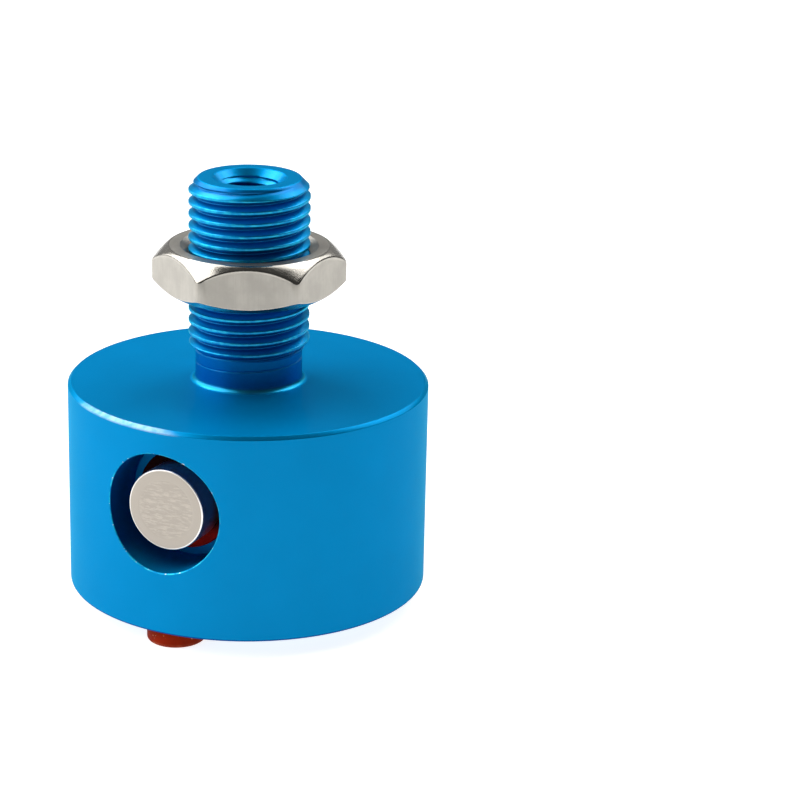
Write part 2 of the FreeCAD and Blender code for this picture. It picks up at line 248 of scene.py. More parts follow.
class PadSizes(PropertyGroup):
    """Three friction pads on the working face."""
    radius: length("Radius", PAD_HIGH.x, "Radius of a pad")
    rise: length("Rise", PAD_HIGH.z, "Height of a pad")
    foot_round: length("Foot", 0.00025, "Rounding of a pad's foot")
    circle: length("Circle", 0.0122, "Circle that the pads lie on")
    red: colour("Red", (0.28, 0.0145, 0.0), "Silicone of the pads")
    dust: colour("Dust", (0.7, 0.4, 0.2), "Specks and rubbed edges of the silicone")


class StudioSettings(PropertyGroup):
    """Camera, floor and lights."""
    azimuth: angle("Azimuth", 28.32, "Camera's turn from the side port")
    elevation: angle("Elevation", 20.42, "Camera's height over the horizon")
    roll: angle("Roll", 0.23, "Camera's tilt about its line of sight")
    distance: length("Distance", 0.22808, "Camera to the middle of the body")
    aim: length("Aim height", 0.0099, "Middle of the body")
    focal: FloatProperty(name="Focal length", description="Lens in front of a 36 mm sensor",
                         default=121.36, min=1.0, unit="CAMERA")
    across: FloatProperty(name="Across", description="Picture column of the aimed point",
                          default=248.31, subtype="PIXEL")
    down: FloatProperty(name="Down", description="Picture row of the aimed point",
                        default=477.48, subtype="PIXEL")
    floor: colour("Floor", (0.45, 0.45, 0.45), "Pale floor")
    glow: strength("Floor glow", 0.86, "Light that comes through the floor")
    sky: strength("Room", 0.07, "Light of the white room")
    left: strength("Left softbox", 3.2, "Brightness of the large softbox on the left")
    right: strength("Right softbox", 2.2, "Brightness of the softbox on the right")
    back: strength("Back softbox", 0.26, "Brightness of the low wide softbox behind")
    upper_left: strength("Upper left softbox", 2.95, "Brightness of the high softbox behind on the left")
    upper_right: strength("Upper right softbox", 2.5, "Brightness of the high softbox behind on the right")


SETTINGS = {
    "gripper_body": BodySizes,
    "gripper_nut": NutSizes,
    "gripper_nozzle": NozzleSizes,
    "gripper_plug": PlugSizes,
    "gripper_pads": PadSizes,
    "gripper_studio": StudioSettings,
}


def millimetres(group):
    """A settings group as plain values, with every length in millimetres."""
    values = {}
    for key in group.__annotations__:
        value = getattr(group, key)
        is_length = group.bl_rna.properties[key].unit == "LENGTH"
        values[key] = value / MM if is_length else value
    return SimpleNamespace(**values)


# Meshes


def nearest_edge(mesh, point):
    """The edge whose middle lies nearest to a point."""
    def off(edge):
        return ((edge.verts[0].co + edge.verts[1].co) / 2 - point).length

    return min(mesh.edges, key=off)


def lathe(corners, columns=COLUMNS, closed=True):
    """A mesh turned about Z. A corner is (radius, height, rounding, cuts in the run that follows it)."""
    mesh = bmesh.new()
    points = [mesh.verts.new((corner[0], 0, corner[1])) for corner in corners]
    ends = points[1:] + points[:1] if closed else points[1:]
    runs = [mesh.edges.new(pair) for pair in zip(points, ends)]
    middles = [(run.verts[0].co + run.verts[1].co) / 2 for run in runs]
    for point, corner in zip(points, corners):
        if corner[2]:
            bmesh.ops.bevel(mesh, geom=[point], offset=corner[2], offset_type="OFFSET",
                            affect="VERTICES", segments=ROUND_STEPS, profile=0.5, material=-1)
    for middle, corner in zip(middles, corners):
        if corner[3]:
            bmesh.ops.subdivide_edges(mesh, edges=[nearest_edge(mesh, middle)], cuts=corner[3])
    bmesh.ops.spin(mesh, geom=mesh.verts[:] + mesh.edges[:], cent=(0, 0, 0), axis=(0, 0, 1),
                   angle=FULL_TURN, steps=columns, use_merge=True)
    bmesh.ops.remove_doubles(mesh, verts=mesh.verts, dist=WELD)
    bmesh.ops.recalc_face_normals(mesh, faces=mesh.faces)
    return mesh


def face_the_port(mesh, height):
    """Lays a form that was turned about Z along the side port's axis, outwards."""
    place = Matrix.Translation((0, 0, height)) @ Matrix.Rotation(math.pi / 2, 4, "X")
    bmesh.ops.transform(mesh, matrix=place, verts=mesh.verts)
    return mesh


def thread_fall(turn, height, pitch, start):
    """How deep a right-hand thread is at a place: 0 on the crest and 1 at the root."""
    phase = (height - start) / pitch - turn / FULL_TURN
    off_crest = abs(phase - round(phase))
    return min(max((off_crest - HALF_CREST) / FLANK, 0.0), 1.0)


def set_radius(vert, radius):
    """Moves a point straight out from the Z axis, or in."""
    scale = radius / math.hypot(vert.co.x, vert.co.y)
    vert.co.x *= scale
    vert.co.y *= scale


def to_object(name, mesh):
    """Hands a mesh over to a new object of the scene."""
    data = bpy.data.meshes.new(name)
    mesh.to_mesh(data)
    mesh.free()
    piece = bpy.data.objects.new(name, data)
    bpy.context.scene.collection.objects.link(piece)
    return piece


def applied(piece):
    """The mesh of an object with its modifiers worked in."""
    bpy.context.view_layer.update()
    shown = piece.evaluated_get(bpy.context.evaluated_depsgraph_get())
    return bpy.data.meshes.new_from_object(shown)


def discard(piece):
    """Removes a helper object and its mesh."""
    data = piece.data
    bpy.data.objects.remove(piece)
    bpy.data.meshes.remove(data)


def carve(mesh, *tools):
    """The mesh with the form of each tool taken out of it."""
    blank = to_object("blank", mesh)
    cutters = [to_object("cutter", tool) for tool in tools]
    for cutter in cutters:
        cut = blank.modifiers.new("cut", "BOOLEAN")
        cut.operation = "DIFFERENCE"
        cut.solver = "EXACT"
        cut.object = cutter
    data = applied(blank)
    carved = bmesh.new()
    carved.from_mesh(data)
    bpy.data.meshes.remove(data)
    for helper in [blank] + cutters:
        discard(helper)
    bmesh.ops.remove_doubles(carved, verts=carved.verts, dist=WELD)
    return carved


def finish_piece(name, mesh, material, body, nodes, keep_smooth=None):
    """Scales a mesh to metres, sets its shading, and lets it ride in place of its CAD nodes."""
    for edge in mesh.edges:
        crease = edge.calc_face_angle(0.0) > SHARP_ANGLE
        edge.smooth = not crease or (keep_smooth is not None and keep_smooth(edge))
    for face in mesh.faces:
        face.smooth = True
    bmesh.ops.scale(mesh, vec=(MM, MM, MM), verts=mesh.verts)
    piece = to_object(name, mesh)
    weighted = piece.modifiers.new("weighted", "WEIGHTED_NORMAL")
    weighted.keep_sharp = True
    rough_data = piece.data
    piece.data = applied(piece)
    piece.data.name = name
    piece.modifiers.clear()
    bpy.data.meshes.remove(rough_data)
    piece.data.materials.clear()
    piece.data.materials.append(material)
    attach(piece, body)
    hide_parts(*nodes)


# Finishes


class Wire:
    """A node's output that can stand in an expression."""

    def __init__(self, finish, socket):
        self.finish = finish
        self.socket = socket

    def maths(self, operation, first, second):
        """A Math node on two values."""
        return self.finish.node("ShaderNodeMath", {"operation": operation}, {0: first, 1: second})

    def __add__(self, other):
        return self.maths("ADD", self, other)

    def __radd__(self, other):
        return self.maths("ADD", other, self)

    def __sub__(self, other):
        return self.maths("SUBTRACT", self, other)

    def __rsub__(self, other):
        return self.maths("SUBTRACT", other, self)

    def __mul__(self, other):
        return self.maths("MULTIPLY", self, other)

    def __rmul__(self, other):
        return self.maths("MULTIPLY", other, self)

    def __pow__(self, other):
        return self.maths("POWER", self, other)

    def __rpow__(self, other):
        return self.maths("POWER", other, self)

    def __or__(self, other):
        return self.maths("MAXIMUM", self, other)

    def __ror__(self, other):
        return self.maths("MAXIMUM", other, self)


class Finish:
    """A procedural material with one Principled surface."""

    def __init__(self, name):
        self.material = bpy.data.materials.new(name)
        self.material.use_nodes = True
        self.tree = self.material.node_tree
        self.tree.nodes.clear()
        place = self.node("ShaderNodeTexCoord", output="Object")
        self.place = self.node("ShaderNodeVectorMath", {"operation": "SCALE"},
                               {"Vector": place, "Scale": 1 / MM})

    def node(self, kind, settings=None, sockets=None, output=0):
        """Makes a node, sets it up, then fills or links its sockets."""
        made = self.tree.nodes.new(kind)
        for key, value in (settings or {}).items():
            setattr(made, key, value)
        for key, value in (sockets or {}).items():
            socket = self.find(made.inputs, key)
            if isinstance(value, Wire):
                self.tree.links.new(value.socket, socket)
            elif socket.type == "RGBA":
                socket.default_value = (*value, 1.0)
            else:
                socket.default_value = value
        return Wire(self, self.find(made.outputs, output)) if made.outputs else None

    @staticmethod
    def find(sockets, key):
        """A socket by its number, its identifier or its name."""
        if isinstance(key, int):
            return sockets[key]
        by_identifier = [socket for socket in sockets if socket.identifier == key]
        return by_identifier[0] if by_identifier else sockets[key]

    def axes(self, centre=(0.0, 0.0, 0.0)):
        """Distances in millimetres from a centre along X, Y and Z."""
        moved = self.node("ShaderNodeVectorMath", {"operation": "SUBTRACT"}, {0: self.place, 1: centre})
        parts = self.node("ShaderNodeSeparateXYZ", None, {"Vector": moved}).socket.node
        return [Wire(self, socket) for socket in parts.outputs]

    def rise(self, value, low, high):
        """0 below low, 1 above high, and smooth between."""
        return self.node("ShaderNodeMapRange", {"interpolation_type": "SMOOTHSTEP"},
                         {"Value": value, "From Min": low, "From Max": high})

    def fall(self, value, low, high):
        """1 below low, 0 above high, and smooth between."""
        return 1 - self.rise(value, low, high)

    def band(self, value, low, high, soft):
        """1 from low to high, with soft ends."""
        return self.rise(value, low - soft, low) * self.fall(value, high, high + soft)

    def stretch(self, scale):
        """Object coordinates stretched by a factor for each axis."""
        return self.node("ShaderNodeVectorMath", {"operation": "MULTIPLY"}, {0: self.place, 1: scale})

    def noise(self, scale, detail=2.0, roughness=0.5, vector=None):
        """Fractal noise with scale features to the millimetre."""
        return self.node("ShaderNodeTexNoise", None, {
            "Vector": vector or self.place,
            "Scale": scale,
            "Detail": detail,
            "Roughness": roughness,
        })

    def rings(self, radius, scale, detail=3.0):
        """Noise that depends on a radius alone, as a turning tool leaves it."""
        return self.node("ShaderNodeTexNoise", {"noise_dimensions": "1D"}, {
            "W": radius,
            "Scale": scale,
            "Detail": detail,
            "Roughness": 0.6,
        })

    def mix(self, factor, first, second):
        """A colour between two colours."""
        return self.node("ShaderNodeMix", {"data_type": "RGBA"}, {
            "Factor_Float": factor,
            "A_Color": first,
            "B_Color": second,
        }, "Result_Color")

    def bump(self, height, depth, under=None):
        """A normal from a height that runs from 0 to 1 over a depth in millimetres."""
        sockets = {"Height": height, "Distance": depth * MM, "Strength": 1.0}
        if under:
            sockets["Normal"] = under
        return self.node("ShaderNodeBump", None, sockets)

    def surface(self, sockets):
        """Closes the material with its Principled surface."""
        shader = self.node("ShaderNodeBsdfPrincipled", None, sockets)
        self.node("ShaderNodeOutputMaterial", None, {"Surface": shader})
        return self.material


def shaded(rgb, share):
    """A colour made darker, or lighter where the share is over 1."""
    return tuple(channel * share for channel in rgb)


# Plain numbers beside a size in the masks below are millimetres past that edge.


def blue_anodised(size):
    """Dyed oxide over fine-blasted aluminium, brighter on the cut stem and rubbed thin along its edges,
    with painted shade in the counterbore, on the thread's roots and neck and along the face's edge, and a
    painted highlight on a stretch of the shoulder's chamfer.
    """
    finish = Finish("blue_anodised_aluminium")
    x, y, z = finish.axes()
    radius = (x * x + y * y) ** 0.5
    up = z - size.side_axis
    off_port = (x * x + up * up) ** 0.5

    bright_cut = finish.band(z, size.shoulder + 0.1, size.stem_end - 0.1, soft=0.06)
    upper_face = finish.band(z, size.shoulder - 0.02, size.shoulder + 0.04, soft=0.04)
    grain = finish.noise(9.0, detail=3.0, roughness=0.6)
    cloud = finish.noise(0.22)
    rub = finish.rise(finish.noise(1.6, detail=4.0, roughness=0.6), 0.36, 0.66)

    # Painted highlight: bare metal on the stretch of the shoulder's chamfer where the left softbox's
    # highlight falls.
    toward_highlight = x * math.sin(size.highlight_turn) - y * math.cos(size.highlight_turn)
    highlight_edge = size.radius * math.cos(size.highlight_reach)
    cone = size.shoulder + size.radius - size.shoulder_break
    chamfer = finish.rise(z + radius, cone - 0.12, cone - 0.06)
    chamfer = chamfer * finish.rise(radius, size.radius - 0.5, size.radius - 0.4)
    shoulder = chamfer * finish.rise(toward_highlight, highlight_edge - 0.3, highlight_edge + 0.3)
    crests = finish.rise(radius, size.stem_radius - 0.1, size.stem_radius - 0.02)
    crests = crests * finish.rise(z, size.thread_foot - 0.5, size.thread_foot)
    fillet = finish.band(z, size.shoulder + 0.1, size.shoulder + 0.3, soft=0.08)
    # Painted shade along the working face's outer edge.
    foot = finish.rise(radius, size.radius - 0.3, size.radius - 0.2)
    foot = foot * finish.fall(z, size.face + 0.1, size.face + 0.2)
    # Painted shade on the thread's roots and the neck.
    roots = finish.band(radius, size.neck_radius - 0.2, size.stem_radius - 0.5, soft=0.25) * bright_cut

    rim_start = -math.sqrt(size.radius ** 2 - size.recess_radius ** 2)
    rim = finish.band(off_port, size.recess_radius + 0.03, size.recess_radius + 0.1, soft=0.02)
    rim = rim * finish.fall(y, rim_start + 0.5, rim_start + 0.9)
    # The counterbore's wall, which gets painted shade except on the sill where light falls.
    wall = finish.band(off_port, size.recess_radius - 0.05, size.recess_radius + 0.01, soft=0.02)
    wall = wall * finish.fall(y, -size.recess_floor + 1.0, -size.recess_floor + 2.0)
    lit_sill = finish.fall(y, -size.radius, -size.radius + 3.5)
    lit_sill = lit_sill * finish.fall(up, -size.recess_radius + 0.4, -size.recess_radius + 2.0)
    cavity = finish.fall(radius, size.cavity_radius - 0.1, size.cavity_radius)
    cavity = cavity * finish.fall(z, size.groove_floor + 0.1, size.groove_floor + 0.2)

    wear = (crests * 0.55 | rim * 0.9) * rub | fillet * 0.36
    nicks = finish.rise(finish.noise(3.4, detail=3.0, roughness=0.65), 0.6, 0.68) * rim
    # Real nicks on the counterbore's rim, and the painted highlight on the shoulder's chamfer.
    nicks_and_highlight = nicks | shoulder * (0.14 + rub * 0.14)
    # Painted shade: the face's outer edge, the counterbore's wall away from the lit sill, and the thread's
    # roots and neck.
    painted_shade = foot * 0.8 | wall * (1 - lit_sill) * 0.75 | roots * 0.4
    polish = bright_cut * 0.05 + chamfer * 0.1 + wear * 0.12
    relief = grain + finish.rings(radius, 7.0) * cavity * 1.6

    tone = finish.mix(cloud, shaded(size.blue, 0.88), size.blue)
    tone = finish.mix(painted_shade, tone, size.shade_blue)
    tone = finish.mix(wear, tone, size.worn_blue)
    tone = finish.mix(nicks_and_highlight, tone, size.nick_and_highlight_metal)
    return finish.surface({
        "Base Color": tone,
        "Metallic": 0.75 + bright_cut * 0.25 - wall * 0.2,
        "Roughness": 0.42 + upper_face * 0.06 + grain * 0.1 - polish,
        "Specular IOR Level": 0.0,
        "Specular Tint": (0.0, 0.76, 0.82),
        "Coat Weight": 0.05 + bright_cut * 0.12,
        "Coat Roughness": 0.14,
        "Coat IOR": 1.5,
        "Normal": finish.bump(relief, depth=0.006),
    })


def nickel_nut(size):
    """Bright nickel over drawn hexagon bar: flats streaked along the stem, faces turned."""
    finish = Finish("nickel_plate_nut")
    x, y, z = finish.axes((0.0, 0.0, (size.foot + size.head) / 2))
    radius = (x * x + y * y) ** 0.5
    half = (size.head - size.foot) / 2
    over_crown = z + (radius - size.crown) * math.tan(size.crown_slope) - half
    under_base = (radius - size.base) * math.tan(size.base_slope) - z - half
    turned = finish.rise(over_crown | under_base, -0.12, -0.04)

    streaks = finish.noise(1.0, detail=4.0, roughness=0.62, vector=finish.stretch((9.0, 9.0, 0.35)))
    grain = finish.noise(11.0)
    rings = finish.rings(radius, 16.0)
    stain = finish.noise(0.5, detail=3.0, roughness=0.6)

    dull = shaded(size.nickel, 0.86)
    tone = finish.mix(finish.rise(stain, 0.3, 0.7), size.nickel, dull)
    tone = finish.mix((1 - turned) * finish.rise(streaks, 0.45, 0.75) * 0.5, tone, dull)
    brushed = finish.bump(streaks * (1 - turned), depth=0.012)
    tooled = (rings * 0.7 + grain * 1.5) * turned
    return finish.surface({
        "Base Color": tone,
        "Metallic": 1.0,
        "Roughness": 0.3 + streaks * 0.16 - turned * 0.24 + grain * 0.06,
        "Normal": finish.bump(tooled, depth=0.004, under=brushed),
    })


def nickel_plug(size, axis_height):
    """Nickel over a stamped head: a rough middle, a smooth ring around it and a burnished edge."""
    finish = Finish("nickel_plate_plug")
    x, y, z = finish.axes((0.0, 0.0, axis_height))
    radius = (x * x + z * z) ** 0.5
    field = finish.fall(radius, size.field_radius - 0.15, size.field_radius + 0.1)
    field = field * finish.fall(y, -size.head_end + 0.12, -size.head_end + 0.2)
    burnished = finish.rise(radius, size.head_radius - 0.17, size.head_radius - 0.1)
    smear = finish.noise(1.0, detail=4.0, roughness=0.65, vector=finish.stretch((1.7, 1.7, 8.5)))
    grain = finish.noise(7.0, detail=3.0, roughness=0.6)
    rings = finish.rings(radius, 9.0)
    bright_smears = finish.rise(smear, 0.45, 0.64) * field * 0.8
    tone = finish.mix(bright_smears, size.nickel, shaded(size.nickel, 1.3))
    tone = finish.mix(burnished, tone, size.edge_nickel)
    relief = smear * field + grain * field * 0.5 + rings * (1 - field) * 0.12
    return finish.surface({
        "Base Color": tone,
        "Metallic": 1.0,
        "Roughness": 0.3 + field * smear * 0.16 + grain * 0.05,
        "Normal": finish.bump(relief, depth=0.02),
    })


def turned_brass(size):
    """Bare turned brass, with the tool's rings on the disc and a slight tarnish."""
    finish = Finish("turned_brass")
    x, y, _ = finish.axes()
    radius = (x * x + y * y) ** 0.5
    rings = finish.rings(radius, 22.0, detail=4.0)
    tarnish = finish.noise(0.9, detail=4.0, roughness=0.6)
    dark = (size.brass[0] * 0.72, size.brass[1] * 0.62, size.brass[2] * 0.5)
    edge = finish.rise(radius, size.disc_radius - 0.16, size.disc_radius - 0.08)
    tone = finish.mix(finish.rise(tarnish, 0.42, 0.75) * 0.25 * (1 - edge), size.brass, dark)
    return finish.surface({
        "Base Color": tone,
        "Metallic": 1.0,
        "Roughness": 0.24 + rings * 0.14 + tarnish * 0.04,
        "Anisotropic": 0.7,
        "Normal": finish.bump(rings, depth=0.008),
    })


def red_silicone(name, red, dust, foot_round, shade_line=None):
    """Moulded silicone with lint specks, rubbed at the floor, and darkened with painted shade above a line.
    """
    finish = Finish(name)
    _, _, z = finish.axes()
    grain = finish.noise(8.0, detail=3.0, roughness=0.6)
    cloud = finish.noise(0.8, detail=3.0)
    specks = finish.rise(finish.noise(5.5, detail=1.0), 0.71, 0.76)
    rubbed = finish.band(z, 0.04, foot_round, soft=0.12) * finish.rise(cloud, 0.3, 0.7)
    tone = finish.mix(finish.rise(cloud, 0.35, 0.65), shaded(red, 0.82), red)
    tone = finish.mix(specks * 0.7 | rubbed * 0.1, tone, dust)
    if shade_line is not None:
        # Painted shade: darkens the silicone above the line.
        painted_washer_shade = finish.rise(z, shade_line - 0.6, shade_line + 0.6) * 0.94
        tone = finish.mix(painted_washer_shade, tone, (0.0, 0.0, 0.0))
    return finish.surface({
        "Base Color": tone,
        "Roughness": 0.5 + grain * 0.16,
        "Specular IOR Level": 0.05,
        "Normal": finish.bump(grain, depth=0.02),
    })


def pale_floor(rgb, glow):
    """Matt pale sheet, lit from below, with the faintest mottle."""
    finish = Finish("pale_floor")
    mottle = finish.noise(0.02)
    return finish.surface({
        "Base Color": finish.mix(mottle, shaded(rgb, 0.985), rgb),
        "Roughness": 0.7,
        "Emission Color": (1.0, 1.0, 1.0),
        "Emission Strength": glow,
    })


# Pieces


class GRIPPER_OT_turned_body(Operator):
    """Turn the body and its stem, cut both threads and sink the side port"""
    bl_idname = "gripper.turned_body"
    bl_label = "Turned body"

    def execute(self, context):
        size = millimetres(context.scene.gripper_body)
        sink = size.stem_end - (size.port_mouth - size.tapped_radius)
        mesh = lathe(self.section(size, sink))
        self.cut_threads(mesh, size)
        mesh = carve(mesh, self.side_port(size))
        self.break_port_edge(mesh, size)

        def in_thread(edge):
            middle = (edge.verts[0].co + edge.verts[1].co) / 2
            off_axis = math.hypot(middle.x, middle.y)
            if off_axis > size.stem_radius - size.thread_depth - CLEAR:
                return size.run_out < middle.z < size.stem_end - CLEAR
            in_port = size.tapped_radius - NEAR < off_axis < size.port_mouth
            return in_port and size.port_floor + CLEAR < middle.z < sink + 2 * CLEAR

        finish_piece("turned_body", mesh, blue_anodised(size), "gripper", ["body"],
                     in_thread)
        return {"FINISHED"}

    @staticmethod
    def section(size, sink):
        """Half the turned section, from the boss out, up the stem and back down the air passage."""
        neck_end = size.thread_foot - (size.stem_radius - size.neck_radius)
        stem_top = size.stem_end - size.stem_chamfer
        neck_rows = round((neck_end - size.shoulder - size.neck_round) / size.pitch * ROWS_PER_PITCH)
        stem_rows = round((stem_top - size.thread_foot) / size.pitch * ROWS_PER_PITCH)
        port_rows = round((size.stem_end - size.port_floor) / size.tapped_pitch * PORT_ROWS)
        return [
            (size.plenum_radius, size.boss, FINE_EDGE, 0),
            (size.boss_radius, size.boss, size.boss_break, 0),
            (size.groove_start, size.groove_floor, GROOVE_EDGE, 0),
            (size.wall_foot, size.groove_floor, size.groove_round, 0),
            (size.cavity_radius, size.face, RIM_EDGE, 0),
            (size.radius, size.face, size.face_break, 0),
            (size.radius, size.shoulder - size.shoulder_break, CHAMFER_EDGE, 0),
            (size.radius - size.shoulder_break, size.shoulder, CHAMFER_EDGE, 0),
            (size.neck_radius, size.shoulder, size.neck_round, neck_rows),
            (size.neck_radius, neck_end, 0, ROWS_PER_PITCH // 2),
            (size.stem_radius, size.thread_foot, 0, stem_rows),
            (size.stem_radius, stem_top, 0, ROWS_PER_PITCH // 2),
            (size.stem_radius - size.stem_chamfer, size.stem_end, RIM_EDGE, 0),
            (size.port_mouth, size.stem_end, SOFT_EDGE, PORT_ROWS),
            (size.tapped_radius, sink, 0, port_rows),
            (size.tapped_radius, size.port_floor, 0, 0),
            (size.passage_radius, size.port_floor, 0, 0),
            (size.passage_radius, size.seat, 0, 0),
            (size.tapped_radius, size.seat, 0, 0),
            (size.tapped_radius, size.plenum_floor, 0, 0),
            (size.plenum_radius, size.plenum_floor, 0, 0),
        ]

    @staticmethod
    def cut_threads(mesh, size):
        """Moves the stem's skin in to its outer thread and the port's wall out to its inner one."""
        groove = size.tapped_radius + size.tapped_depth
        for vert in mesh.verts:
            off_axis = math.hypot(vert.co.x, vert.co.y)
            turn = math.atan2(vert.co.y, vert.co.x)
            if vert.co.z > size.run_out and off_axis > size.port_mouth:
                fall = thread_fall(turn, vert.co.z, size.pitch, size.thread_start)
                set_radius(vert, min(off_axis, size.stem_radius - size.thread_depth * fall))
            elif vert.co.z > size.port_floor - NEAR and size.tapped_radius - NEAR < off_axis < groove:
                fall = thread_fall(turn, vert.co.z, size.tapped_pitch, size.port_start)
                set_radius(vert, max(off_axis, size.tapped_radius + size.tapped_depth * (1 - fall)))

    @staticmethod
    def side_port(size):
        """The drill and counterbore of the side port as one turned tool."""
        reach = size.radius + 1
        tool = lathe([
            (0, 0, 0, 0),
            (size.tapped_radius, 0, 0, 0),
            (size.tapped_radius, size.recess_floor, 0, 0),
            (size.recess_radius, size.recess_floor, 0, 0),
            (size.recess_radius, reach, 0, 0),
            (0, reach, 0, 0),
        ], PORT_COLUMNS, closed=False)
        return face_the_port(tool, size.side_axis)

    @staticmethod
    def break_port_edge(mesh, size):
        """Chamfers the edge where the counterbore leaves the round of the body."""
        def on_rim(vert):
            off_port = math.hypot(vert.co.x, vert.co.z - size.side_axis)
            off_axis = math.hypot(vert.co.x, vert.co.y)
            on_both = abs(off_port - size.recess_radius) < NEAR and abs(off_axis - size.radius) < NEAR
            return on_both and vert.co.y < 0

        rim = [edge for edge in mesh.edges if all(on_rim(vert) for vert in edge.verts)]
        if len(rim) < PORT_COLUMNS:
            raise RuntimeError("the side port has no whole rim")
        bmesh.ops.bevel(mesh, geom=rim, offset=size.recess_break, offset_type="OFFSET", affect="EDGES",
                        segments=1, profile=0.5, material=-1)


class GRIPPER_OT_lock_nut(Operator):
    """Cut the hexagon lock nut with its crowned corners and its inner thread"""
    bl_idname = "gripper.lock_nut"
    bl_label = "Lock nut"

    def execute(self, context):
        size = millimetres(context.scene.gripper_nut)
        stem = millimetres(context.scene.gripper_body)
        half_flats = size.flats / 2
        half_side = math.pi / NUT_SIDES
        corner = half_flats / math.cos(half_side)
        crown_slope = math.tan(size.crown_slope)
        base_slope = math.tan(size.base_slope)
        lead = size.mouth - stem.stem_radius
        rows = round((size.head - size.foot) / stem.pitch * ROWS_PER_PITCH)
        mesh = lathe([
            (stem.stem_radius, size.foot + lead, 0, rows),
            (stem.stem_radius, size.head - lead, 0, ROWS_PER_PITCH // 2),
            (size.mouth, size.head, 0, 0),
            (size.crown, size.head, 0, CROWN_ROWS),
            (corner, size.head - (corner - size.crown) * crown_slope, 0, 0),
            (corner, size.foot + (corner - size.base) * base_slope, 0, 0),
            (size.base, size.foot, 0, 0),
            (size.mouth, size.foot, 0, ROWS_PER_PITCH // 2),
        ])
        first_flat = size.turn - math.pi / 2
        bmesh.ops.rotate(mesh, cent=(0, 0, 0), matrix=Matrix.Rotation(first_flat, 3, "Z"), verts=mesh.verts)

        for vert in mesh.verts:
            off_axis = math.hypot(vert.co.x, vert.co.y)
            turn = math.atan2(vert.co.y, vert.co.x)
            if off_axis > size.crown + NEAR:
                off_flat = (turn - first_flat + half_side) % (2 * half_side) - half_side
                share = (off_axis - size.crown) / (corner - size.crown)
                reach = size.crown + (half_flats / math.cos(off_flat) - size.crown) * share
                set_radius(vert, reach)
                if vert.co.z > (size.head + size.foot) / 2:
                    fall = ((reach - size.crown) / (corner - size.crown)) ** CROWN_POWER
                    vert.co.z = size.head - (corner - size.crown) * crown_slope * fall
                else:
                    vert.co.z = size.foot + (reach - size.base) * base_slope
            elif off_axis < size.mouth + NEAR:
                fall = thread_fall(turn, vert.co.z, stem.pitch, stem.thread_start)
                thread = stem.stem_radius - stem.thread_depth * fall + size.clearance
                cone = off_axis if off_axis > stem.stem_radius + NEAR else 0.0
                set_radius(vert, max(thread, size.core, cone))

        def is_corner(edge):
            return all(math.hypot(vert.co.x, vert.co.y) > corner - NEAR for vert in edge.verts)

        def is_arc(edge):
            outside = all(math.hypot(vert.co.x, vert.co.y) > half_flats - CLEAR for vert in edge.verts)
            upright = [abs(face.normal.z) < 0.1 for face in edge.link_faces]
            return outside and any(upright) and not all(upright)

        breaks = ((is_corner, size.corner_round, ROUND_STEPS), (is_arc, size.edge, EDGE_STEPS))
        for picked, width, steps in breaks:
            mesh.normal_update()
            edges = [edge for edge in mesh.edges if picked(edge)]
            bmesh.ops.bevel(mesh, geom=edges, offset=width, offset_type="OFFSET", affect="EDGES",
                            segments=steps, profile=0.5, material=-1)

        def in_thread(edge):
            return all(math.hypot(vert.co.x, vert.co.y) < size.mouth - CLEAR for vert in edge.verts)

        finish_piece("hexagon_nut", mesh, nickel_nut(size), "lock_nut", ["lock_nut"],
                     in_thread)
        return {"FINISHED"}


class GRIPPER_OT_nozzle(Operator):
    """Turn the brass nozzle and drill its cross holes"""
    bl_idname = "gripper.nozzle"
    bl_label = "Nozzle"

    def execute(self, context):
        size = millimetres(context.scene.gripper_nozzle)
        mesh = lathe([
            (0, size.face, 0, 0),
            (size.disc_radius, size.face, size.disc_break, 0),
            (size.disc_radius, size.disc_back, FINE_EDGE, 0),
            (size.shank_radius, size.disc_back, SHANK_EDGE, 0),
            (size.shank_radius, size.seat, SHANK_EDGE, 0),
            (size.feed_radius, size.seat, FINE_EDGE, 0),
            (size.feed_radius, size.feed_floor, 0, 0),
            (0, size.feed_floor, 0, 0),
        ], closed=False)
        drills = []
        for axis in "XY":
            drill = bmesh.new()
            bmesh.ops.create_cone(drill, cap_ends=True, segments=JET_COLUMNS, radius1=size.jet_radius,
                                  radius2=size.jet_radius, depth=4 * size.shank_radius)
            lay = Matrix.Translation((0, 0, size.jet_axis)) @ Matrix.Rotation(math.pi / 2, 4, axis)
            bmesh.ops.transform(drill, matrix=lay, verts=drill.verts)
            drills.append(drill)
        mesh = carve(mesh, *drills)
        finish_piece("brass_nozzle", mesh, turned_brass(size), "gripper", ["nozzle"])
        return {"FINISHED"}


class GRIPPER_OT_port_plug(Operator):
    """Turn the round-headed plug that closes the side port"""
    bl_idname = "gripper.port_plug"
    bl_label = "Port plug"

    def execute(self, context):
        size = millimetres(context.scene.gripper_plug)
        axis_height = context.scene.gripper_body.side_axis / MM
        field_floor = size.head_end - size.field_sink
        field_edge = size.field_radius + 0.1
        mesh = lathe([
            (0, size.tip, 0, 0),
            (size.shank_radius, size.tip, size.tip_break, 0),
            (size.shank_radius, size.seat, SHANK_EDGE, 0),
            (size.head_radius, size.seat, SHANK_EDGE, 0),
            (size.head_radius, size.head_end, size.head_break, 0),
            (field_edge, size.head_end, FINE_EDGE, 0),
            (size.field_radius, field_floor, FINE_EDGE, 0),
            (0, field_floor, 0, 0),
        ], PORT_COLUMNS, closed=False)
        face_the_port(mesh, axis_height)
        finish_piece("port_plug_head", mesh, nickel_plug(size, axis_height), "gripper", ["port_plug"])
        return {"FINISHED"}


